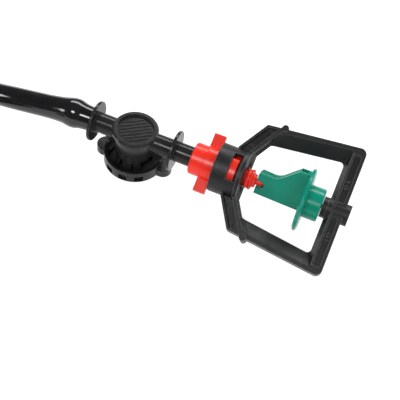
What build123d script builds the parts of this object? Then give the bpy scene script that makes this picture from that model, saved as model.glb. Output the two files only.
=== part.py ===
from build123d import *
from math import cos, pi, radians, sin, sqrt, tan
import os

# Hanging micro-sprinkler: anti-leak valve, red winged nozzle, bridge and rotating spreader on a hose.
#
# Millimetres, +Z up. The flow axis is parallel to X at the height AXIS_Z, the valve's own axis is
# vertical, and the bridge is rolled about the flow axis until its lower arm rests on the ground.
# Stations along the flow axis (the *_X names) are counted from the valve's axis, towards the rotor.

os.makedirs("parts", exist_ok=True)

# ---------------------------------------------------------------- driving dimensions
AXIS_Z = 12.5          # flow axis above the ground
VALVE_X = -24.85       # the valve's axis in the part's frame
ROLL = 27.7            # bridge rolled about the flow axis
FIN_ROLL = 65.0        # rotor's fin rolled about the flow axis at rest
RUN = 0.3              # clearance between pieces that move
FIT = 0.02             # clearance of pushed-together pieces
HOSE_R, HOSE_BORE_R = 3.5, 2.0
WATER_R = 1.4

# valve; heights are counted from the flow axis
LIP_TOP, LIP_LOW, LIP_R, RECESS_R, RECESS_DEPTH = 3.5, 2.2, 7.55, 6.1, 0.8
BODY_TOP_R, BODY_LOW_R, BODY_LOW = 7.1, 6.3, -6.4
RECESS_RIB_T, RECESS_RIB_H, RECESS_RIB_PITCH, RECESS_RIBS, RECESS_RIBS_R = 0.4, 0.25, 1.3, 7, 5.2
RECESS_TURN = 35.0
ARM_R, FLANGE_R, FLANGE_T, FLANGE_X = 3.35, 6.75, 1.0, 14.0
STUB_X = 24.6          # end of the outlet stub, inside the nozzle
CHAMBER_R, CHAMBER_TOP, POCKET_R, WELL_TOP = 3.9, -2.6, 4.95, -4.75
SEAT_R, SEAT_BORE_R, SEAT_LOW = 1.9, 1.0, -4.0
DROP_X, DROP_R = 3.0, 0.7
LEG_LOW, LEG_MIDDLE, LEG_HALF = -10.8, 259.5, 54.5
# pointed slits between the legs: (middle, left and right side at the bottom, height of the right shoulder)
LEG_SLITS = [(249.0, -1.6, 0.8, -7.3), (287.5, -0.6, 0.6, -8.8)]
LEG_SLIT_TOP = -6.3
GUSSET_X, GUSSET_T, GUSSET_LOW = 10.2, 1.5, -6.4
BARB_X, BARB_END_X, BARB_R, BARB_ROOT_R, BARB_TIP_R = -20.5, -23.4, 3.45, 2.65, 2.3

# valve cap
CAP_R, CAP_WALL, CAP_TOP, CAP_EDGE, CAP_FLOOR = 10.1, 1.1, -7.6, -11.7, -11.2
FOOT_R, VENT_R = 8.9, 0.6
EAR_R, EAR_X, EAR_LOW, EAR_TOP = 3.0, 10.4, -12.4, -9.6
WINDOW_PITCH, WINDOW_HALF, WINDOW_MIDDLE, WINDOW_LOW, WINDOW_TOP = 31.3, 8.6, 271.3, -11.5, -9.1
SLEEVE_R, SLEEVE_BORE_R, SLEEVE_TOP = 4.65, 4.05, -5.65

# diaphragm, piston and spring
MEMBRANE_T, MEMBRANE_LOW, PAD_R, PAD_TOP, BEAD_R = 0.5, -5.4, 2.3, -4.05, 4.75
PISTON_R, PISTON_TOP, PISTON_T, STEM_R, STEM_LOW = 3.6, -5.55, 0.8, 1.1, -9.0
SPRING_R, WIRE_R, SPRING_TURNS = 2.3, 0.22, 5

# nozzle
NOZ_X, NOZ_RING_X, NOZ_RING_END, NOZ_END = 20.4, 24.9, 28.2, 35.6
NOZ_R, NOZ_RING_R, NOZ_BARREL_R, NOZ_ORIFICE_R = 5.3, 5.95, 5.8, 0.55
WING_X, WING_END, WING_SPAN, WING_T = 24.2, 28.1, 19.8, 2.2
LUG_X, LUG_END, LUG_R, LUG_HALF, LUG_MIDDLE = 33.0, 35.6, 6.85, 34.0, 5.0
TIP_NECK_R, TIP_END = 2.75, 44.5
TIP = [
    (38.9, 3.3), (39.3, 3.4), (39.6, 3.1), (40.0, 3.1), (40.4, 3.4), (40.8, 3.3), (41.1, 2.35), (41.5, 2.2),
    (41.95, 2.15), (42.05, 1.05), (TIP_END - 0.4, 0.95), (TIP_END, 0.7),
]
SOCKET_R = ARM_R + FIT
SEAL_X, SEAL_RING_R, SEAL_WIRE_R, SEAL_GROOVE_R = 22.8, 3.82, 0.42, 4.26

# bridge, drawn in its own plane as (station, distance from the flow axis)
DEPTH = 6.0
COLLAR_X, COLLAR_R, COLLAR_BORE_R = 28.5, 8.1, 6.1
GROOVE_X, GROOVE_END, GROOVE_R, TWIST = 32.7, 35.95, 7.15, 60.0
COLLAR_WINDOW_X, COLLAR_WINDOW_END, COLLAR_WINDOW_HALF, COLLAR_WINDOW_MIDDLE = 33.3, 36.5, 35.0, -6.0
PLATE_HOLE_R = 3.55
SLIT_X, SLIT_T, SLIT_HALF, SLIT_DEPTH = 38.3, 0.7, 5.4, 2.3
SHOULDER, CORNER, BAR_CORNER, BAR_CORNER_R = (33.15, 8.1), (39.2, 17.9), (71.4, 21.35), 2.0
INNER = [(39.3, 7.56), (42.2, 12.32), (43.1, 12.64), (65.9, 15.38)]
BEVEL_PLATE, BEVEL_STRUT, BEVEL_CORNER, BEVEL_ARM, BEVEL_BAR = 1.2, 1.6, 3.06, 4.0, 1.35
STRUT_RIM, STRUT_END_RIM, RIB_FROM, POCKET_DEPTH = 0.7, 0.85, 3.5, 2.0
MARKS, MARK_R, MARK_DEPTH = [(36.4, 9.7), (40.9, 15.6)], 0.8, 0.4
NUB, NUB_R = (44.85, 18.6), 1.1
RIB_X, RIB_HALF, RIB_RISE, RIB_OFFSET = 37.5, 0.62, 0.5, 4.05
INNER_CORNER_R, MITRE_R = 1.3, 0.15
BAR_RIB_X, BAR_RIB_T, BAR_RIB_HALF, BAR_RIB_RISE = 67.45, 0.6, 18.6, 0.4
CHANNEL_X, CHANNEL_END, CHANNEL_DEPTH, CHANNEL_FROM, CHANNEL_TO = 68.15, 70.3, 1.2, 2.6, 18.6
STAMP_Y, STAMP_R, STAMP_T, STAMP_BAR, STAMP_BAR_Y, STAMP_H = 8.0, 0.75, 0.3, 1.3, 9.7, 0.35
BOSS_X, BOSS_END, BOSS_R, PLUG_R = 64.2, 73.1, 3.4, 2.0
BOSS_BAND_X, BOSS_BAND_END, BOSS_BAND_R = 65.8, 67.4, 3.7
PIN_X, PIN_END, PIN_R = 59.2, 71.5, 0.75

# rotor; the fin is drawn in its own plane, its long edge on the negative side
FIN_X, FIN_T, FIN_TOP, FIN_DIP_R, FIN_EDGE_R = 42.4, 3.4, 9.5, 4.0, 0.35
FIN = [
    (FIN_X, -3.4), (58.2, -3.85), (58.2, FIN_TOP), (54.6, FIN_TOP), (48.7, 4.0), (43.1, 4.3), (FIN_X, 3.4),
]
FIN_DIP = 4            # which corner of the fin is the dip, rounded by FIN_DIP_R
SLOT_W, WATERWAY_W, WATERWAY_H, WATERWAY_FLOOR = 0.7, 1.8, 2.0, -1.4
WATERWAY_BEND_X, WATERWAY_BEND_R = 48.8, 8.0
NOTCH_END, NOTCH_R = 44.95, 1.35
DISC_X, DISC_R, HUB_X, HUB_R, HUB_END = 57.4, 10.4, 59.4, 5.4, 64.0
DISC = [(57.4, 5.0), (57.55, 9.5), (57.9, 10.2), (58.35, DISC_R), (58.8, 10.2), (59.1, 9.4)]
BUSH_X, BUSH_R, BUSH_BORE_R = 60.0, 1.9, 0.8

# hose: route of its free stretch as (station, sideways, height from the flow axis)
HOSE_START, HOSE_END_X = -14.55, -24.0
HOSE_ROUTE = [
    (-24.0, 0.0, 0.0), (-31.0, 0.0, -0.6), (-43.4, 0.3, -3.9), (-56.0, 3.9, -7.0), (-69.2, 12.3, -8.5),
    (-81.5, 16.0, -8.7), (-93.4, 16.0, -8.2),
]
# put-away coil, lying on its tie
COIL_OUTER_R, COIL_INNER_R = 38.5, 31.4
COIL_TOP_ANGLE, COIL_TOP_ARC, TAIL_Z = -30.0, 245.0, 10.9
TIE_T, TIE_W, TIE_ANGLE = 0.8, 4.0, 300.0
CONNECTOR_Z, CONNECTOR_BORE_R, SPIGOT_R, SPIGOT_L, CONNECTOR_L = 11.45, 1.2, 2.5, 9.0, 19.0


# ---------------------------------------------------------------- planes and helpers
def at(station):
    """Place along X of a station on the flow axis."""
    return VALVE_X + station


def across(station, roll=0.0):
    """Plane square to the flow axis; its local Y points up, rolled towards -Y."""
    side = (0, cos(radians(roll)), sin(radians(roll)))
    return Plane(origin=(at(station), 0, AXIS_Z), x_dir=side, z_dir=(1, 0, 0))


def along(roll):
    """Plane that holds the flow axis; its normal is upright, rolled towards -Y."""
    normal = (0, -sin(radians(roll)), cos(radians(roll)))
    return Plane(origin=(VALVE_X, 0, AXIS_Z), x_dir=(1, 0, 0), z_dir=normal)


def level(height):
    """Horizontal plane centred on the valve's axis, at a height counted from the flow axis."""
    return Plane(origin=(VALVE_X, 0, AXIS_Z + height), x_dir=(1, 0, 0), z_dir=(0, 0, 1))


AXIAL = Plane(origin=(VALVE_X, 0, AXIS_Z), x_dir=(1, 0, 0), z_dir=(0, -1, 0))
FLOW = Axis((0, 0, AXIS_Z), (1, 0, 0))
UPRIGHT = Axis((VALVE_X, 0, 0), (0, 0, 1))
BRIDGE_PLANE = along(ROLL)
FIN_PLANE = along(FIN_ROLL)


def outline(plane, points, end_radius=0.0):
    """Flat face inside a closed run of points; its corners furthest along X can be rounded."""
    with BuildSketch(plane) as face:
        with BuildLine():
            Polyline(*points, close=True)
        make_face()
        if end_radius:
            fillet(face.vertices().group_by(Axis.X)[-1], end_radius)
    return face.sketch


def disc(plane, radius, inner=0.0):
    """Round face, with a hole if an inner radius is given."""
    with BuildSketch(plane) as face:
        Circle(radius)
        if inner:
            Circle(inner, mode=Mode.SUBTRACT)
    return face.sketch


def sector(plane, radius, inner, middle, half):
    """Piece of a ring, half degrees each side of the middle angle."""
    start, crown, end = [
        (radius * cos(radians(a)), radius * sin(radians(a))) for a in (middle - half, middle, middle + half)
    ]
    with BuildSketch(plane) as face:
        with BuildLine():
            Line((0, 0), start)
            ThreePointArc(start, crown, end)
            Line(end, (0, 0))
        make_face()
        Circle(inner, mode=Mode.SUBTRACT)
    return face.sketch


def shifted(line, distance):
    """The line moved sideways, to the left of its own direction."""
    (ax, ay), (bx, by) = line
    length = sqrt((bx - ax) ** 2 + (by - ay) ** 2)
    dx, dy = -(by - ay) / length * distance, (bx - ax) / length * distance
    return (ax + dx, ay + dy), (bx + dx, by + dy)


def meet(one, two):
    """Point where two lines cross."""
    (ax, ay), (bx, by) = one
    (cx, cy), (dx, dy) = two
    rx, ry, sx, sy = bx - ax, by - ay, dx - cx, dy - cy
    share = ((cx - ax) * sy - (cy - ay) * sx) / (rx * sy - ry * sx)
    return ax + share * rx, ay + share * ry


def spread(points, distances):
    """Polygon whose edges are moved outwards, each by its own distance (points run anticlockwise)."""
    edges = [shifted((p, q), -d) for p, q, d in zip(points, points[1:] + points[:1], distances)]
    return [meet(edges[i - 1], edges[i]) for i in range(len(points))]


def mirrored(points):
    """The same points on the other side of the flow axis."""
    return [(x, -y) for x, y in points]


def finish(part, name):
    """Label a piece and write it."""
    part.label = name
    export_step(part, f"parts/{name}.step")


# ---------------------------------------------------------------- anti-leak valve
with BuildPart() as valve_body:
    revolve(outline(AXIAL, [
        (0, LIP_TOP - RECESS_DEPTH), (RECESS_R, LIP_TOP - RECESS_DEPTH), (RECESS_R, LIP_TOP),
        (LIP_R - 0.4, LIP_TOP), (LIP_R, LIP_TOP - 0.4), (LIP_R, LIP_LOW), (BODY_TOP_R, LIP_LOW - 0.4),
        (BODY_LOW_R, BODY_LOW), (0, BODY_LOW),
    ]), axis=UPRIGHT)
    # inlet arm with its barb, and outlet arm with its stub, each with a flange
    inlet, outlet = -FLANGE_X - FLANGE_T / 2, FLANGE_X + FLANGE_T / 2
    revolve(outline(AXIAL, [
        (BARB_END_X, 0), (BARB_END_X, BARB_TIP_R), (BARB_X, BARB_R), (BARB_X + 0.6, BARB_R),
        (BARB_X + 0.6, BARB_ROOT_R), (inlet, BARB_ROOT_R), (inlet, FLANGE_R - 0.2), (inlet + 0.2, FLANGE_R),
        (inlet + FLANGE_T - 0.2, FLANGE_R), (inlet + FLANGE_T, FLANGE_R - 0.2), (inlet + FLANGE_T, ARM_R),
        (outlet - FLANGE_T, ARM_R), (outlet - FLANGE_T, FLANGE_R - 0.2), (outlet - FLANGE_T + 0.2, FLANGE_R),
        (outlet - 0.2, FLANGE_R), (outlet, FLANGE_R - 0.2), (outlet, ARM_R), (STUB_X, ARM_R), (STUB_X, 0),
    ]), axis=FLOW)
    # webs under the arms
    for side in (-1, 1):
        extrude(outline(AXIAL.offset(-GUSSET_T / 2), [
            (side * 4.5, -1), (side * GUSSET_X, -1), (side * GUSSET_X, GUSSET_LOW), (side * 4.5, GUSSET_LOW),
        ]), amount=GUSSET_T)
    # recess in the top, with low parallel ribs across its floor
    recess_floor = LIP_TOP - RECESS_DEPTH
    extrude(disc(level(recess_floor), RECESS_R), amount=RECESS_DEPTH + 1, mode=Mode.SUBTRACT)
    for step in range(RECESS_RIBS):
        y = (step - (RECESS_RIBS - 1) / 2) * RECESS_RIB_PITCH
        with BuildSketch(level(recess_floor - 0.3)):
            with Locations(Rotation(0, 0, RECESS_TURN) * Location((0, y, 0))):
                Rectangle(2 * sqrt(RECESS_RIBS_R**2 - y**2), RECESS_RIB_T)
        extrude(amount=0.3 + RECESS_RIB_H)
    # legs that reach into the cap, front and back, parted by pointed slits
    for side in (0, 180):
        extrude(
            sector(level(BODY_LOW + 0.5), BODY_LOW_R - 0.05, POCKET_R, LEG_MIDDLE + side, LEG_HALF),
            amount=BODY_LOW + 0.5 - LEG_LOW, dir=(0, 0, -1),
        )
        for middle, left, right, shoulder in LEG_SLITS:
            outwards = (cos(radians(middle + side)), sin(radians(middle + side)), 0)
            slit_plane = Plane(
                origin=(VALVE_X, 0, AXIS_Z), x_dir=(-outwards[1], outwards[0], 0), z_dir=outwards
            )
            extrude(outline(slit_plane.offset(POCKET_R - 1), [
                (left, LEG_LOW - 1), (right, LEG_LOW - 1), (right, shoulder), (0, LEG_SLIT_TOP),
            ]), amount=3, mode=Mode.SUBTRACT)
    # pocket for the diaphragm and the cap's sleeve, water chamber above it, and the seat in the middle
    revolve(outline(AXIAL, [
        (0, BODY_LOW - 1), (POCKET_R, BODY_LOW - 1), (POCKET_R, WELL_TOP), (CHAMBER_R, WELL_TOP),
        (CHAMBER_R, CHAMBER_TOP), (0, CHAMBER_TOP),
    ]), axis=UPRIGHT, mode=Mode.SUBTRACT)
    extrude(disc(level(SEAT_LOW), SEAT_R), amount=CHAMBER_TOP - SEAT_LOW + 0.2)
    # waterways: in through the inlet arm and down beside the seat, up through the seat and out
    extrude(disc(across(BARB_END_X - 1), WATER_R), amount=-DROP_X - BARB_END_X + 1, mode=Mode.SUBTRACT)
    with BuildSketch(level(CHAMBER_TOP - 0.5)):
        with Locations((-DROP_X, 0)):
            Circle(DROP_R)
    extrude(amount=-CHAMBER_TOP + 0.5, mode=Mode.SUBTRACT)
    extrude(disc(level(SEAT_LOW - 0.5), SEAT_BORE_R), amount=-SEAT_LOW + 0.5, mode=Mode.SUBTRACT)
    extrude(disc(across(0), WATER_R), amount=STUB_X + 1, mode=Mode.SUBTRACT)
finish(valve_body.part, "valve_body")

with BuildPart() as valve_cap:
    revolve(outline(AXIAL, [
        (0, -AXIS_Z), (FOOT_R, -AXIS_Z), (CAP_R, CAP_EDGE), (CAP_R, CAP_TOP + 0.2), (CAP_R - 0.2, CAP_TOP),
        (CAP_R - CAP_WALL, CAP_TOP), (CAP_R - CAP_WALL, CAP_FLOOR), (SLEEVE_R, CAP_FLOOR),
        (SLEEVE_R, SLEEVE_TOP), (SLEEVE_BORE_R, SLEEVE_TOP), (SLEEVE_BORE_R, CAP_FLOOR), (0, CAP_FLOOR),
    ]), axis=UPRIGHT)
    # windows round the wall, front and back
    for side in (0, 180):
        for step in (-1, 0, 1):
            extrude(
                sector(level(WINDOW_LOW), CAP_R + 1, CAP_R - CAP_WALL - 0.2,
                       side + WINDOW_MIDDLE + step * WINDOW_PITCH, WINDOW_HALF),
                amount=WINDOW_TOP - WINDOW_LOW, mode=Mode.SUBTRACT,
            )
    # finger ears
    with BuildSketch(level(EAR_LOW)):
        for side in (-1, 1):
            with Locations((side * EAR_X, 0)):
                Circle(EAR_R)
            with Locations((side * (EAR_X - 0.6), 0)):
                Rectangle(1.2, 2 * EAR_R)
    extrude(amount=EAR_TOP - EAR_LOW)
    # air hole under the piston, and the spring's seat round it
    extrude(disc(level(CAP_FLOOR), SPRING_R - WIRE_R - 0.2, VENT_R + 0.5), amount=0.6)
    extrude(disc(level(-AXIS_Z - 1), VENT_R), amount=3, mode=Mode.SUBTRACT)
finish(valve_cap.part, "valve_cap")

with BuildPart() as diaphragm:
    # pad under the seat, thin web, and the bead clamped at the rim
    web_top = MEMBRANE_LOW + MEMBRANE_T
    revolve(outline(AXIAL, [
        (0, MEMBRANE_LOW), (BEAD_R - 0.5, MEMBRANE_LOW), (BEAD_R - 0.5, MEMBRANE_LOW - 0.1),
        (BEAD_R, MEMBRANE_LOW - 0.1), (BEAD_R, web_top + 0.1), (BEAD_R - 0.5, web_top + 0.1),
        (BEAD_R - 0.5, web_top), (PAD_R, web_top), (PAD_R, PAD_TOP), (0, PAD_TOP),
    ]), axis=UPRIGHT)
finish(diaphragm.part, "diaphragm")

with BuildPart() as piston:
    revolve(outline(AXIAL, [
        (0, PISTON_TOP), (PISTON_R, PISTON_TOP), (PISTON_R, PISTON_TOP - PISTON_T),
        (STEM_R, PISTON_TOP - PISTON_T), (STEM_R, STEM_LOW + 0.3), (STEM_R - 0.3, STEM_LOW), (0, STEM_LOW),
    ]), axis=UPRIGHT)
finish(piston.part, "piston")

with BuildPart() as valve_spring:
    spring_low = CAP_FLOOR + WIRE_R + 0.02
    spring_high = PISTON_TOP - PISTON_T - WIRE_R - 0.02
    with BuildLine():
        coil_line = Helix(
            pitch=(spring_high - spring_low) / SPRING_TURNS, height=spring_high - spring_low,
            radius=SPRING_R, center=(VALVE_X, 0, AXIS_Z + spring_low),
        )
    with BuildSketch(Plane(origin=coil_line @ 0, z_dir=coil_line % 0)):
        Circle(WIRE_R)
    sweep(path=coil_line, is_frenet=True)
finish(valve_spring.part, "valve_spring")

# ---------------------------------------------------------------- nozzle
with BuildPart() as nozzle_body:
    revolve(outline(AXIAL, [
        (NOZ_X, 0), (NOZ_X, NOZ_R - 0.3), (NOZ_X + 0.3, NOZ_R), (NOZ_RING_X, NOZ_R), (NOZ_RING_X, NOZ_RING_R),
        (NOZ_RING_END, NOZ_RING_R), (NOZ_RING_END, NOZ_BARREL_R), (NOZ_END, NOZ_BARREL_R),
        (NOZ_END, TIP_NECK_R), (TIP[0][0], TIP_NECK_R), *TIP, (TIP_END, 0),
    ]), axis=FLOW)
    # two wings in the plane of the bridge
    wing_middle = (WING_X + WING_END) / 2
    with BuildSketch(BRIDGE_PLANE):
        with Locations((wing_middle, 0)):
            Rectangle(WING_END - WING_X, WING_SPAN)
    extrude(amount=WING_T / 2, both=True)
    # bayonet lugs
    for side in (90, 270):
        extrude(sector(across(LUG_X, ROLL), LUG_R, NOZ_BARREL_R - 1, side + LUG_MIDDLE, LUG_HALF),
                amount=LUG_END - LUG_X)
    # socket for the valve's stub, groove for the seal ring, waterway and orifice
    revolve(outline(AXIAL, [
        (NOZ_X - 1, 0), (NOZ_X - 1, SOCKET_R), (SEAL_X - 0.5, SOCKET_R), (SEAL_X - 0.5, SEAL_GROOVE_R),
        (SEAL_X + 0.5, SEAL_GROOVE_R), (SEAL_X + 0.5, SOCKET_R), (STUB_X + 0.3, SOCKET_R),
        (STUB_X + 0.3, WATER_R), (NOZ_END, WATER_R), (TIP_END - 2, NOZ_ORIFICE_R),
        (TIP_END + 1, NOZ_ORIFICE_R), (TIP_END + 1, 0),
    ]), axis=FLOW, mode=Mode.SUBTRACT)
finish(nozzle_body.part, "nozzle_body")

with BuildPart() as nozzle_seal:
    with BuildSketch(AXIAL):
        with Locations((SEAL_X, SEAL_RING_R)):
            Circle(SEAL_WIRE_R)
    revolve(axis=FLOW)
finish(nozzle_seal.part, "nozzle_seal")

# ---------------------------------------------------------------- bridge
half_depth = DEPTH / 2
opening = mirrored(INNER) + INNER[::-1]
bevels = [
    BEVEL_STRUT, BEVEL_CORNER, BEVEL_ARM, BEVEL_BAR, BEVEL_ARM, BEVEL_CORNER, BEVEL_STRUT, BEVEL_PLATE,
]
strut_line, arm_line = (SHOULDER, CORNER), (CORNER, BAR_CORNER)
pocket_end = shifted(arm_line, -STRUT_END_RIM)
pocket_start = ((0, COLLAR_R - 1), (10, COLLAR_R - 1))
pocket = [
    meet(shifted(strut_line, -STRUT_RIM), pocket_start), meet(shifted(strut_line, -STRUT_RIM), pocket_end),
    meet(shifted(strut_line, -RIB_FROM), pocket_end), meet(shifted(strut_line, -RIB_FROM), pocket_start),
]

rib_outer = shifted(strut_line, -(RIB_OFFSET - RIB_HALF))
rib_inner = shifted(strut_line, -(RIB_OFFSET + RIB_HALF))
rib_ends = [(0, NUB[1]), (10, NUB[1])]
rib_left = ((RIB_X - RIB_HALF, 0), (RIB_X - RIB_HALF, 1))
rib_right = ((RIB_X + RIB_HALF, 0), (RIB_X + RIB_HALF, 1))
rib_side = [
    meet(rib_outer, rib_left), meet(rib_outer, rib_ends),
    meet(rib_inner, rib_ends), meet(rib_inner, rib_right),
]
rib = rib_side + mirrored(rib_side[::-1])

channel_middle = (CHANNEL_X + CHANNEL_END) / 2

with BuildPart() as bridge:
    extrude(outline(BRIDGE_PLANE, [SHOULDER, CORNER, BAR_CORNER] + mirrored([BAR_CORNER, CORNER, SHOULDER])),
            amount=half_depth, both=True)
    fillet(bridge.edges().filter_by(Axis((0, 0, 0), BRIDGE_PLANE.z_dir)).group_by(Axis.X)[-1], BAR_CORNER_R)
    # the opening is narrowest at mid-depth and bevelled out to both faces
    for face in (-1, 1):
        reach = 1.2
        loft([
            outline(BRIDGE_PLANE, opening, INNER_CORNER_R),
            outline(BRIDGE_PLANE.offset(face * half_depth * reach),
                    spread(opening, [b * reach for b in bevels]), MITRE_R),
        ], ruled=True, mode=Mode.SUBTRACT)
    # raised ribs along both struts and across the collar's end, and the round nubs in which they end
    extrude(outline(BRIDGE_PLANE, rib), amount=half_depth + RIB_RISE, both=True)
    with BuildSketch(BRIDGE_PLANE):
        with Locations(NUB, *mirrored([NUB])):
            Circle(NUB_R)
    extrude(amount=half_depth + RIB_RISE, both=True)
    # raised rib along the end bar's inner side
    with BuildSketch(BRIDGE_PLANE):
        with Locations((BAR_RIB_X + BAR_RIB_T / 2, 0)):
            Rectangle(BAR_RIB_T, 2 * BAR_RIB_HALF)
    extrude(amount=half_depth + BAR_RIB_RISE, both=True)
    # pockets in the struts, with round marks in their floors, and channels along the end bar
    for face in (-1, 1):
        for hand in (1, -1):
            spot = [(x, y * hand) for x, y in pocket]
            extrude(outline(BRIDGE_PLANE.offset(face * (half_depth - POCKET_DEPTH)), spot),
                    amount=face * 2 * POCKET_DEPTH, mode=Mode.SUBTRACT)
            with BuildSketch(BRIDGE_PLANE.offset(face * (half_depth - POCKET_DEPTH - MARK_DEPTH))):
                with Locations(*[(x, y * hand) for x, y in MARKS]):
                    Circle(MARK_R)
            extrude(amount=face * 2 * MARK_DEPTH, mode=Mode.SUBTRACT)
            with BuildSketch(BRIDGE_PLANE.offset(face * (half_depth - CHANNEL_DEPTH))):
                with Locations((channel_middle, hand * (CHANNEL_FROM + CHANNEL_TO) / 2)):
                    RectangleRounded(CHANNEL_END - CHANNEL_X, CHANNEL_TO - CHANNEL_FROM, 0.5)
            extrude(amount=face * 2 * CHANNEL_DEPTH, mode=Mode.SUBTRACT)
            # ring and dash raised from the channel's floor
            with BuildSketch(BRIDGE_PLANE.offset(face * (half_depth - CHANNEL_DEPTH - 0.2))):
                with Locations((channel_middle, hand * STAMP_Y)):
                    Circle(STAMP_R)
                    Circle(STAMP_R - STAMP_T, mode=Mode.SUBTRACT)
                with Locations((channel_middle, hand * STAMP_BAR_Y)):
                    Rectangle(STAMP_BAR, STAMP_T)
            extrude(amount=face * (STAMP_H + 0.2))
    # collar, the rib round its end, the boss for the pivot and the band where the end bar crosses it
    extrude(disc(across(COLLAR_X), COLLAR_R), amount=RIB_X - COLLAR_X)
    extrude(disc(across(RIB_X - RIB_HALF), COLLAR_R + RIB_RISE), amount=2 * RIB_HALF)
    extrude(disc(across(BOSS_X), BOSS_R), amount=BOSS_END - BOSS_X)
    extrude(disc(across(BOSS_BAND_X), BOSS_BAND_R), amount=BOSS_BAND_END - BOSS_BAND_X)
    # collar's mouth, the groove in which the lugs turn, their way in, and the hole for the nozzle's tip
    revolve(outline(AXIAL, [
        (COLLAR_X - 1, 0), (COLLAR_X - 1, COLLAR_BORE_R), (GROOVE_X, COLLAR_BORE_R), (GROOVE_X, GROOVE_R),
        (GROOVE_END, GROOVE_R), (GROOVE_END, PLATE_HOLE_R), (INNER[0][0] + 1, PLATE_HOLE_R),
        (INNER[0][0] + 1, 0),
    ]), axis=FLOW, mode=Mode.SUBTRACT)
    # slit round the nozzle's tip, between the rib and the plate's bevel
    for face in (-1, 1):
        with BuildSketch(BRIDGE_PLANE.offset(face * (half_depth - SLIT_DEPTH))):
            with BuildLine():
                Polyline((SLIT_X + 0.3, -SLIT_HALF), (SLIT_X, -SLIT_HALF + 1.5), (SLIT_X, SLIT_HALF - 1.5),
                         (SLIT_X + 0.3, SLIT_HALF), (SLIT_X + SLIT_T, 0), close=True)
            make_face()
        extrude(amount=face * 2 * SLIT_DEPTH, mode=Mode.SUBTRACT)
    for side in (90, 270):
        extrude(sector(across(COLLAR_X - 0.5, ROLL), GROOVE_R, COLLAR_BORE_R - 1,
                       side + LUG_MIDDLE - TWIST, LUG_HALF + 3),
                amount=GROOVE_X - COLLAR_X + 1, mode=Mode.SUBTRACT)
        extrude(sector(across(COLLAR_WINDOW_X, ROLL), COLLAR_R + 1, COLLAR_BORE_R,
                       side + COLLAR_WINDOW_MIDDLE, COLLAR_WINDOW_HALF),
                amount=COLLAR_WINDOW_END - COLLAR_WINDOW_X, mode=Mode.SUBTRACT)
    extrude(disc(across(BOSS_X - 0.5), PLUG_R), amount=BOSS_END - BOSS_X + 1, mode=Mode.SUBTRACT)
finish(bridge.part, "bridge")

with BuildPart() as pivot_plug:
    revolve(outline(AXIAL, [
        (BOSS_X + 0.2, PIN_R + FIT), (BOSS_X + 0.2, PLUG_R - FIT), (BOSS_END, PLUG_R - FIT),
        (BOSS_END, PLUG_R - 0.6), (BOSS_END - 0.6, 0.4), (BOSS_END - 0.6, 0), (PIN_END, 0),
        (PIN_END, PIN_R + FIT),
    ]), axis=FLOW)
finish(pivot_plug.part, "pivot_plug")

with BuildPart() as pivot_pin:
    revolve(outline(AXIAL, [
        (PIN_X, 0), (PIN_X, PIN_R - 0.2), (PIN_X + 0.2, PIN_R), (PIN_END, PIN_R), (PIN_END, 0),
    ]), axis=FLOW)
finish(pivot_pin.part, "pivot_pin")

# ---------------------------------------------------------------- rotor
with BuildPart() as rotor:
    with BuildSketch(FIN_PLANE) as fin_face:
        with BuildLine():
            Polyline(*FIN, close=True)
        make_face()
        fillet(fin_face.vertices().sort_by_distance(FIN[FIN_DIP])[0], FIN_DIP_R)
    extrude(amount=FIN_T / 2, both=True)
    fillet(rotor.faces().filter_by(FIN_PLANE).edges(), FIN_EDGE_R)
    # disc, thin at its rim, with the hub behind it
    revolve(outline(AXIAL, [
        (DISC_X, 0), *DISC, (HUB_X, HUB_R), (HUB_END - 0.3, HUB_R), (HUB_END, HUB_R - 0.3), (HUB_END, 0),
    ]), axis=FLOW)
    # slot between the fin's two walls, over a floor that sweeps out to the edge
    bend = (
        WATERWAY_BEND_X + WATERWAY_BEND_R * sin(pi / 4),
        WATERWAY_FLOOR + WATERWAY_BEND_R * (1 - cos(pi / 4)),
    )
    turned = (WATERWAY_BEND_X + WATERWAY_BEND_R, WATERWAY_FLOOR + WATERWAY_BEND_R)
    for width, cover in ((SLOT_W, 0.0), (WATERWAY_W, WATERWAY_H)):
        with BuildSketch(FIN_PLANE):
            with BuildLine():
                Line((FIN_X - 1, WATERWAY_FLOOR), (WATERWAY_BEND_X, WATERWAY_FLOOR))
                ThreePointArc((WATERWAY_BEND_X, WATERWAY_FLOOR), bend, turned)
                if cover:
                    inner_r = WATERWAY_BEND_R - cover
                    Polyline(turned, (turned[0], FIN_TOP + 1), (turned[0] - cover, FIN_TOP + 1),
                             (turned[0] - cover, turned[1]))
                    ThreePointArc(
                        (turned[0] - cover, turned[1]),
                        (WATERWAY_BEND_X + inner_r * sin(pi / 4), turned[1] - inner_r * cos(pi / 4)),
                        (WATERWAY_BEND_X, WATERWAY_FLOOR + cover),
                    )
                    Polyline((WATERWAY_BEND_X, WATERWAY_FLOOR + cover), (FIN_X - 1, WATERWAY_FLOOR + cover),
                             (FIN_X - 1, WATERWAY_FLOOR))
                else:
                    Polyline(turned, (turned[0], FIN_TOP + 1), (FIN_X - 1, FIN_TOP + 1),
                             (FIN_X - 1, WATERWAY_FLOOR))
            make_face()
        extrude(amount=width / 2, both=True, mode=Mode.SUBTRACT)
    # notch through both walls of the fin for the nozzle's tip, and the bore for the bush
    with BuildSketch(FIN_PLANE):
        with Locations(((FIN_X - 1 + NOTCH_END - NOTCH_R) / 2, 0)):
            Rectangle(NOTCH_END - NOTCH_R - FIN_X + 1, 2 * NOTCH_R)
        with Locations((NOTCH_END - NOTCH_R, 0)):
            Circle(NOTCH_R)
    extrude(amount=FIN_T, both=True, mode=Mode.SUBTRACT)
    extrude(disc(across(BUSH_X), BUSH_R + FIT), amount=HUB_END - BUSH_X + 1, mode=Mode.SUBTRACT)
    extrude(disc(across(PIN_X - RUN), PIN_R + RUN), amount=BUSH_X - PIN_X + 1, mode=Mode.SUBTRACT)
finish(rotor.part, "rotor")

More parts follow.
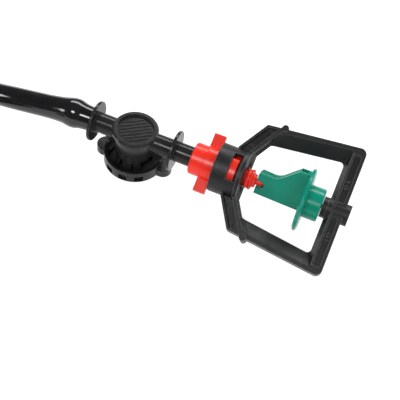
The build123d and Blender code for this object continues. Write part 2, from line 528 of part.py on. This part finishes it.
with BuildPart() as rotor_bush:
    extrude(disc(across(BUSH_X), BUSH_R, BUSH_BORE_R), amount=HUB_END - 0.1 - BUSH_X)
finish(rotor_bush.part, "rotor_bush")

# ---------------------------------------------------------------- hose
with BuildPart() as hose_end:
    # the end of the hose, swollen where it is pushed over the barb
    revolve(outline(AXIAL, [
        (HOSE_START, 0), (HOSE_START, 4.05), (-17.5, 4.15), (-20.1, 4.9), (-21.0, 4.9),
        (HOSE_END_X, HOSE_R), (HOSE_END_X, 0),
    ]), axis=FLOW)
    revolve(outline(AXIAL, [
        (HOSE_START + 1, 0), (HOSE_START + 1, BARB_ROOT_R + FIT), (BARB_X + 0.63, BARB_ROOT_R + FIT),
        (BARB_X + 0.63, BARB_R + FIT), (BARB_X, BARB_R + FIT), (BARB_END_X - FIT, BARB_TIP_R + FIT),
        (BARB_END_X - FIT, HOSE_BORE_R), (HOSE_END_X - 1, HOSE_BORE_R), (HOSE_END_X - 1, 0),
    ]), axis=FLOW, mode=Mode.SUBTRACT)
finish(hose_end.part, "hose_end")

route = [Vector(at(x), y, AXIS_Z + z) for x, y, z in HOSE_ROUTE]
radii = []
for before, corner, after in zip(route, route[1:], route[2:]):
    turn = radians((corner - before).get_angle(after - corner))
    shorter = min((corner - before).length, (after - corner).length)
    radii.append(0.45 * shorter / tan(turn / 2))
print("hose bend radii", [round(r, 1) for r in radii])

with BuildPart() as hose_tube:
    with BuildLine():
        hose_line = FilletPolyline(*route, radius=radii)
    with BuildSketch(Plane(origin=hose_line @ 0, z_dir=hose_line % 0)):
        Circle(HOSE_R)
    sweep(path=hose_line)
finish(hose_tube.part, "hose_tube")
print("hose tube length", round(hose_line.length, 2), "volume / (section x length)",
      round(hose_tube.part.volume / (pi * HOSE_R**2 * hose_line.length), 4))

# the put-away coil, wound anticlockwise: two turns side by side, then a part turn on top of them
coil_centre = Vector(at(HOSE_ROUTE[-1][0]), HOSE_ROUTE[-1][1] - COIL_OUTER_R, 0)
COIL_AXIS = Axis(coil_centre, (0, 0, 1))


def radial(angle):
    """Upright plane through the coil's axis; its local X points outwards at the angle."""
    outwards = (cos(radians(angle)), sin(radians(angle)), 0)
    sideways = (sin(radians(angle)), -cos(radians(angle)), 0)
    return Plane(origin=coil_centre, x_dir=outwards, z_dir=sideways)


coil_middle_r = (COIL_OUTER_R + COIL_INNER_R) / 2
coil_width = COIL_OUTER_R - COIL_INNER_R + 2 * HOSE_R
with BuildPart() as hose_coil:
    with BuildSketch(radial(0)):
        with Locations((coil_middle_r, TIE_T + HOSE_R)):
            RectangleRounded(coil_width, 2 * HOSE_R, HOSE_R - 0.4)
    revolve(axis=COIL_AXIS)
    with BuildSketch(radial(COIL_TOP_ANGLE)):
        with Locations((coil_middle_r, TAIL_Z)):
            Circle(HOSE_R)
    revolve(axis=COIL_AXIS, revolution_arc=COIL_TOP_ARC)
finish(hose_coil.part, "hose_coil")

with BuildPart() as coil_tie:
    # strap round both turns
    with BuildSketch(radial(TIE_ANGLE)):
        with Locations((coil_middle_r, TIE_T + HOSE_R)):
            RectangleRounded(coil_width + 2 * TIE_T + 0.2, 2 * HOSE_R + 2 * TIE_T, HOSE_R)
            RectangleRounded(coil_width + 0.2, 2 * HOSE_R, HOSE_R - 0.6, mode=Mode.SUBTRACT)
    extrude(amount=TIE_W / 2, both=True)
finish(coil_tie.part, "coil_tie")

# supply connector: its axis leaves the tail of the coil along the tangent
tail_angle = radians(COIL_TOP_ANGLE + COIL_TOP_ARC)
tail = coil_centre + Vector(cos(tail_angle), sin(tail_angle), 0) * coil_middle_r
tail_way = Vector(-sin(tail_angle), cos(tail_angle), 0)
CONNECTOR_PLANE = Plane(
    origin=(tail.X, tail.Y, CONNECTOR_Z), x_dir=tail_way, z_dir=(-tail_way.Y, tail_way.X, 0)
)
CONNECTOR_AXIS = Axis((tail.X, tail.Y, CONNECTOR_Z), tail_way)
with BuildPart() as supply_connector:
    revolve(outline(CONNECTOR_PLANE, [
        (0.02, CONNECTOR_BORE_R), (0.02, 2.9), (1.6, 2.9), (1.6, 3.6), (2.8, 3.6), (2.8, 2.7), (6.6, 2.7),
        (6.6, 3.6), (7.8, 3.6), (7.8, SPIGOT_R), (7.8 + SPIGOT_L, SPIGOT_R),
        (CONNECTOR_L, 1.9), (CONNECTOR_L, CONNECTOR_BORE_R),
    ]), axis=CONNECTOR_AXIS)
finish(supply_connector.part, "supply_connector")
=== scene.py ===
from math import cos, exp, radians, sin

import bpy
from mathutils import Euler, Matrix, Vector


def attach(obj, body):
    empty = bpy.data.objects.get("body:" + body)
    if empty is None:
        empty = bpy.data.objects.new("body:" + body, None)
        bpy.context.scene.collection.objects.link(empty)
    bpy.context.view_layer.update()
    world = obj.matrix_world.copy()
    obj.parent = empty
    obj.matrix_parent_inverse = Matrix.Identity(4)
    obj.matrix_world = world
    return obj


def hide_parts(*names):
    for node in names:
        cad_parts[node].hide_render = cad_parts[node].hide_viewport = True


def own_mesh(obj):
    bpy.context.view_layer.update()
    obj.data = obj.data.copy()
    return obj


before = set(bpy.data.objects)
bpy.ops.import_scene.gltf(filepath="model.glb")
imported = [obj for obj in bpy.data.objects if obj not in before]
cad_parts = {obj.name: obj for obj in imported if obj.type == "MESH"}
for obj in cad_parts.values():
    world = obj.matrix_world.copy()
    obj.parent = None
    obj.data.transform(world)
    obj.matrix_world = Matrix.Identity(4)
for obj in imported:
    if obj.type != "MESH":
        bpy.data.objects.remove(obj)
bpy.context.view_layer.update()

MM = 0.001

# the same places as in the CAD, in mm: stations run along the flow axis from the valve's axis, heights from
# the ground
VALVE_X, AXIS_Z = -24.85, 12.5
FLANGE_FACE = -14.55
HOSE_R = 3.5


def at(station, y=0.0, height=0.0):
    """A point in metres: station along the flow axis, sideways, and height from the flow axis, in mm."""
    return Vector((VALVE_X + station, y, AXIS_Z + height)) * MM


# ---------------------------------------------------------------- camera
LENS, SENSOR = 79.6, 36.0
CAMERA_PLACE = at(69.96, -169.0, 222.8)
CAMERA_TURNS = (35.348, -5.146, 22.174)   # degrees about X, then Y, then Z

cam_data = bpy.data.cameras.new("camera")
cam_data.lens, cam_data.sensor_width = LENS, SENSOR
cam_data.clip_start, cam_data.clip_end = 0.01, 20.0
camera = bpy.data.objects.new("camera", cam_data)
bpy.context.scene.collection.objects.link(camera)
camera.matrix_world = Matrix.LocRotScale(CAMERA_PLACE, Euler(map(radians, CAMERA_TURNS)), None)
bpy.context.scene.camera = camera

# ---------------------------------------------------------------- materials
BLOTCH_SCALE = 120.0                      # of the drift in colour; the gloss drifts three times as fast
EDGE_FROM, EDGE_TO = 0.985, 0.80          # cosine of the softening's turn where the painted edge highlight starts and is full
BUMP_DEPTH = 0.0002                       # in metres
# the cap's hollow round the legs: painted near black as painted shade, and made matt
DRUM_SHADE_COLOUR, DRUM_ROUGH = (0.004, 0.004, 0.0045, 1), 0.75


def number(tree, operation, first, second):
    """Math node; each operand is a number or another node's output."""
    node = tree.nodes.new("ShaderNodeMath")
    node.operation = operation
    for socket, operand in zip(node.inputs, (first, second)):
        if isinstance(operand, (int, float)):
            socket.default_value = operand
        else:
            tree.links.new(operand, socket)
    return node.outputs[0]


def noise(tree, coord, scale, detail, roughness):
    """Noise that is fixed to the piece."""
    node = tree.nodes.new("ShaderNodeTexNoise")
    node.inputs["Scale"].default_value = scale
    node.inputs["Detail"].default_value = detail
    node.inputs["Roughness"].default_value = roughness
    tree.links.new(coord.outputs["Object"], node.inputs["Vector"])
    return node.outputs["Fac"]


def map_range(tree, value, source, target=(0.0, 1.0)):
    """A socket's value carried over from one range to another, and held at that one's ends."""
    node = tree.nodes.new("ShaderNodeMapRange")
    node.inputs["From Min"].default_value, node.inputs["From Max"].default_value = source
    node.inputs["To Min"].default_value, node.inputs["To Max"].default_value = target
    tree.links.new(value, node.inputs["Value"])
    return node.outputs["Result"]


def blend(tree, factor, first, second, kind="RGBA"):
    """Mix of two sockets or values by a factor socket."""
    mix = tree.nodes.new("ShaderNodeMix")
    mix.data_type = kind
    *slots, result = {"RGBA": (6, 7, 2), "FLOAT": (2, 3, 0)}[kind]
    tree.links.new(factor, mix.inputs[0])
    for slot, value in zip(slots, (first, second)):
        if isinstance(value, bpy.types.NodeSocket):
            tree.links.new(value, mix.inputs[slot])
        else:
            mix.inputs[slot].default_value = value
    return mix.outputs[result]


def drifting_colour(tree, coord, dark, light):
    """Colour that drifts between two close shades."""
    ramp = tree.nodes.new("ShaderNodeValToRGB")
    first, last = ramp.color_ramp.elements
    first.position, last.position = 0.32, 0.68
    first.color, last.color = (*dark, 1), (*light, 1)
    tree.links.new(noise(tree, coord, BLOTCH_SCALE, 4.0, 0.6), ramp.inputs["Fac"])
    return ramp.outputs["Color"]


def grained(tree, coord, strength, scale):
    """Bump node of a fine grain."""
    bump = tree.nodes.new("ShaderNodeBump")
    bump.inputs["Strength"].default_value = strength
    bump.inputs["Distance"].default_value = BUMP_DEPTH
    tree.links.new(noise(tree, coord, scale, 2.0, 0.5), bump.inputs["Height"])
    return bump


def rounded(tree, radius):
    """Normals of edges softened by a radius in mm."""
    bevel = tree.nodes.new("ShaderNodeBevel")
    bevel.samples = 6
    bevel.inputs["Radius"].default_value = radius * MM
    return bevel.outputs["Normal"]


def edge_highlight_mask(tree, soft_normal):
    """0 on flat surfaces and 1 on softened edges, by how far the softening turns the surface; it places the
    painted edge highlight.
    """
    surface = tree.nodes.new("ShaderNodeNewGeometry")
    turn = tree.nodes.new("ShaderNodeVectorMath")
    turn.operation = "DOT_PRODUCT"
    tree.links.new(soft_normal, turn.inputs[0])
    tree.links.new(surface.outputs["Normal"], turn.inputs[1])
    return map_range(tree, turn.outputs["Value"], (EDGE_FROM, EDGE_TO))


def inside_drum(tree, coord, radius, low, high):
    """1 inside an upright drum round the valve's axis, between two heights in mm, and 0 outside it."""
    place = tree.nodes.new("ShaderNodeSeparateXYZ")
    tree.links.new(coord.outputs["Object"], place.inputs[0])
    along = number(tree, "SUBTRACT", place.outputs["X"], VALVE_X * MM)
    squares = [number(tree, "MULTIPLY", side, side) for side in (along, place.outputs["Y"])]
    within = number(tree, "LESS_THAN", number(tree, "ADD", *squares), (radius * MM) ** 2)
    above = number(tree, "GREATER_THAN", place.outputs["Z"], low * MM)
    below = number(tree, "LESS_THAN", place.outputs["Z"], high * MM)
    return number(tree, "MULTIPLY", number(tree, "MULTIPLY", within, above), below)


def material(name, dark, light, rough, grain=0.05, grain_scale=2500.0, round_mm=0.25, specular=0.5,
             metallic=0.0, edge=None, drum=None):
    """Moulded plastic, rubber or metal: drifting colour and gloss, a fine grain and softened edges.

    edge is the paler colour painted on softened edges as a painted highlight; drum is where the piece is
    made matt and painted darker as painted shade, as in inside_drum.
    """
    finish = bpy.data.materials.new(name)
    finish.use_nodes = True
    tree = finish.node_tree
    shader = tree.nodes["Principled BSDF"]
    shader.inputs["Metallic"].default_value = metallic
    shader.inputs["Specular IOR Level"].default_value = specular
    coord = tree.nodes.new("ShaderNodeTexCoord")
    colour = drifting_colour(tree, coord, dark, light)
    roughness = map_range(tree, noise(tree, coord, BLOTCH_SCALE * 3, 3.0, 0.5), (0.3, 0.7), rough)
    bump = grained(tree, coord, grain, grain_scale)
    if round_mm:
        soft_normal = rounded(tree, round_mm)
        tree.links.new(soft_normal, bump.inputs["Normal"])
        # the softened edges are painted a paler colour: a painted highlight
        if edge:
            colour = blend(tree, edge_highlight_mask(tree, soft_normal), colour, (*edge, 1))
    if drum:
        # inside the cap's hollow the colour is painted near black as painted shade, and the gloss made matt
        drum_shade_mask = inside_drum(tree, coord, *drum)
        colour = blend(tree, drum_shade_mask, colour, DRUM_SHADE_COLOUR)
        roughness = blend(tree, drum_shade_mask, roughness, DRUM_ROUGH, "FLOAT")
    tree.links.new(bump.outputs["Normal"], shader.inputs["Normal"])
    tree.links.new(colour, shader.inputs["Base Color"])
    tree.links.new(roughness, shader.inputs["Roughness"])
    return finish


# paler colours painted on softened edges: painted highlights
BLACK_EDGE_HIGHLIGHT = (0.085, 0.085, 0.088)
BRIDGE_EDGE_HIGHLIGHT = (0.160, 0.160, 0.165)
RED_EDGE_HIGHLIGHT = (0.86, 0.085, 0.055)
GREEN_EDGE_HIGHLIGHT = (0.045, 0.42, 0.30)
CAP_DRUM = (9.2, 1.0, 7.5)                # radius, lowest and highest point, in mm, of the cap's hollow that is painted dark as painted shade

BLACK = material("black_moulded", (0.009, 0.009, 0.010), (0.014, 0.014, 0.015), rough=(0.22, 0.32),
                 specular=0.25, edge=BLACK_EDGE_HIGHLIGHT)
BLACK_VALVE = material("black_valve", (0.015, 0.015, 0.016), (0.021, 0.021, 0.022), rough=(0.16, 0.24),
                       specular=0.18, edge=BLACK_EDGE_HIGHLIGHT)
BLACK_CAP = material("black_cap", (0.009, 0.009, 0.010), (0.014, 0.014, 0.015), rough=(0.24, 0.34),
                     specular=0.25, edge=BLACK_EDGE_HIGHLIGHT, drum=CAP_DRUM)
BLACK_BRIDGE = material("black_bridge", (0.010, 0.010, 0.011), (0.016, 0.016, 0.017), rough=(0.38, 0.50),
                        specular=0.25, edge=BRIDGE_EDGE_HIGHLIGHT, round_mm=0.35)
RED = material("red_moulded", (0.80, 0.022, 0.010), (0.86, 0.028, 0.013), rough=(0.26, 0.36),
               specular=0.34, edge=RED_EDGE_HIGHLIGHT)
GREEN = material("green_moulded", (0.002, 0.225, 0.148), (0.004, 0.265, 0.175), rough=(0.18, 0.28),
                 specular=0.22, edge=GREEN_EDGE_HIGHLIGHT)
HOSE = material("hose_pvc", (0.006, 0.006, 0.007), (0.010, 0.010, 0.011), rough=(0.08, 0.14),
                round_mm=0, grain=0.03, grain_scale=900.0)
RUBBER = material("rubber", (0.015, 0.015, 0.015), (0.025, 0.025, 0.025), rough=(0.60, 0.75), round_mm=0.1)
STEEL = material("steel", (0.55, 0.55, 0.56), (0.65, 0.65, 0.66), rough=(0.20, 0.32), round_mm=0.05,
                 metallic=1.0)
# dark grey, partly the bush's own colour and partly painted shade: in the thin gap between the rotor's hub
# and the boss it shows as the dark shadow line there
DARK_BUSH = material("bush_acetal", (0.020, 0.020, 0.022), (0.030, 0.030, 0.033), rough=(0.35, 0.45),
                     round_mm=0.1)

NODE_MATERIAL = {
    "valve_body": BLACK_VALVE, "valve_cap": BLACK_CAP, "diaphragm": RUBBER, "piston": BLACK,
    "valve_spring": STEEL, "nozzle_body": RED, "nozzle_seal": RUBBER, "bridge": BLACK_BRIDGE,
    "pivot_plug": BLACK, "pivot_pin": STEEL, "rotor": GREEN, "rotor_bush": DARK_BUSH, "coil_tie": RUBBER,
    "supply_connector": BLACK,
}
for node_name, finish in NODE_MATERIAL.items():
    mesh_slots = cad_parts[node_name].data.materials
    mesh_slots.clear()
    mesh_slots.append(finish)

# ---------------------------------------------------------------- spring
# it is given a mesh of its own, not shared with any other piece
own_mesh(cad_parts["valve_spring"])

# ---------------------------------------------------------------- hose
# the free stretch, near where the CAD lays it: each control point, as at() takes it, and how many times its
# plain radius the hose has there
FREE_STRETCH = [
    ((FLANGE_FACE, 0.0, 0.0), 1.16), ((-16.6, 0.0, 0.0), 1.18), ((-18.8, 0.0, 0.0), 1.24),
    ((-20.6, 0.0, 0.0), 1.42), ((-22.6, 0.0, -0.1), 1.42), ((-25.5, 0.0, -0.5), 1.22),
    ((-30.5, 0.0, -1.5), 1.12), ((-37.0, 0.0, -2.75), 1.11), ((-45.0, 0.1, -4.4), 1.10),
    ((-52.0, 0.8, -6.5), 1.06), ((-57.5, 2.6, -8.8), 1.0), ((-69.2, 12.0, -8.8), 1.0),
    ((-81.5, 16.0, -8.8), 1.0),
]

# the coil: radii and heights in mm, and spans of the angle in degrees that the hose has run through
COIL_STATION, COIL_Y = -93.4, -22.5
FIRST_ANGLE, LAST_ANGLE, ANGLE_STEP = 90.0, 935.0, 22.5
OUTER_R, INNER_R, TOP_R = 38.5, 31.4, 35.0
INWARDS, OUTWARDS = (395, 450), (705, 765)
LOW_TURN_Z = 3.6
CLIMB, CLIMB_HEIGHT = (690, 750), 7.0
END_RISE, END_RISE_HEIGHT = (740, 790), 0.9
TIE_ANGLE, TIE_SPAN, TIE_LIFT = 300.0, 35.0, 0.75
SPREAD = 1 / 0.981        # control points stand this much further out than the turn they make


def smooth(value, low, high):
    """0 below low, 1 above high, and an even rise between them."""
    t = min(max((value - low) / (high - low), 0.0), 1.0)
    return t * t * (3 - 2 * t)


def coil_point(angle):
    """A control point of the coil: an outer turn and an inner one, lifted over the tie, then one on top."""
    inwards, outwards = smooth(angle, *INWARDS), smooth(angle, *OUTWARDS)
    radius = OUTER_R + (INNER_R - OUTER_R) * inwards + (TOP_R - INNER_R) * outwards
    climb = smooth(angle, *CLIMB)
    from_tie = (angle - TIE_ANGLE + 180) % 360 - 180
    tie_lift = TIE_LIFT * exp(-(from_tie / TIE_SPAN) ** 2) * (1 - climb)
    z = LOW_TURN_Z + tie_lift + CLIMB_HEIGHT * climb + END_RISE_HEIGHT * smooth(angle, *END_RISE)
    reach, turn = radius * SPREAD, radians(angle)
    return at(COIL_STATION + reach * cos(turn), COIL_Y + reach * sin(turn), z - AXIS_Z)


def hose_route():
    """The spline's control points, each with the hose's thickness there."""
    steps = int((LAST_ANGLE - FIRST_ANGLE) / ANGLE_STEP)
    angles = [FIRST_ANGLE + ANGLE_STEP * step for step in range(steps + 1)] + [LAST_ANGLE]
    free_route = [(at(*place), thickness) for place, thickness in FREE_STRETCH]
    return free_route + [(coil_point(angle), 1.0) for angle in angles]


def tube_curve(name, route, radius):
    """Round tube along one open, smooth spline."""
    curve = bpy.data.curves.new(name, "CURVE")
    curve.dimensions = "3D"
    curve.bevel_depth = radius
    curve.bevel_resolution = 10
    curve.use_fill_caps = True
    curve.resolution_u = 10
    spline = curve.splines.new("NURBS")
    spline.points.add(len(route) - 1)
    for point, (place, thickness) in zip(spline.points, route):
        point.co = (*place, 1.0)
        point.radius = thickness
    spline.order_u = 3
    spline.use_endpoint_u = True
    tube = bpy.data.objects.new(name, curve)
    bpy.context.scene.collection.objects.link(tube)
    return tube


hose = tube_curve("hose", hose_route(), HOSE_R * MM)
hose.data.materials.append(HOSE)
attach(hose, "valve")
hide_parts("hose_end", "hose_tube", "hose_coil")

# ---------------------------------------------------------------- floor
FLOOR_SIZE, FLOOR_Z = 4.0, -0.0002
FLOOR_GREY, FLOOR_GLOW = 0.35, 0.90       # it glows a near white, so the shadows on it are faint

bpy.ops.mesh.primitive_plane_add(size=FLOOR_SIZE, location=(0, 0, FLOOR_Z))
floor = bpy.context.object
floor.name = "floor"
floor_finish = bpy.data.materials.new("floor")
floor_finish.use_nodes = True
paint = floor_finish.node_tree.nodes["Principled BSDF"]
paint.inputs["Base Color"].default_value = (FLOOR_GREY, FLOOR_GREY, FLOOR_GREY, 1)
paint.inputs["Roughness"].default_value = 0.9
paint.inputs["Specular IOR Level"].default_value = 0.0
paint.inputs["Emission Color"].default_value = (1, 1, 1, 1)
paint.inputs["Emission Strength"].default_value = FLOOR_GLOW
floor.data.materials.append(floor_finish)


# ---------------------------------------------------------------- light
def softbox(name, direction, distance, width, height, power):
    """Rectangular area light that stands off in a direction and faces the object."""
    data = bpy.data.lights.new(name, "AREA")
    data.shape, data.size, data.size_y, data.energy = "RECTANGLE", width, height, power
    lamp = bpy.data.objects.new(name, data)
    lamp.location = Vector(direction).normalized() * distance
    lamp.rotation_euler = (-lamp.location).to_track_quat("-Z", "Y").to_euler()
    bpy.context.scene.collection.objects.link(lamp)


WORLD_LIGHT = 0.12

softbox("back", (0.05, 0.75, 0.66), distance=0.9, width=1.50, height=0.28, power=11.0)
softbox("key", (-0.15, -0.56, 0.81), distance=0.9, width=0.30, height=0.18, power=3.5)
softbox("side", (-0.83, -0.46, 0.31), distance=0.9, width=0.16, height=0.20, power=1.2)
softbox("fill", (0.65, -0.65, 0.40), distance=1.0, width=0.5, height=0.4, power=2.5)
world = bpy.data.worlds.new("studio")
world.use_nodes = True
world.node_tree.nodes["Background"].inputs["Color"].default_value = (1, 1, 1, 1)
world.node_tree.nodes["Background"].inputs["Strength"].default_value = WORLD_LIGHT
bpy.context.scene.world = world
bpy.context.scene.view_settings.view_transform = "Standard"
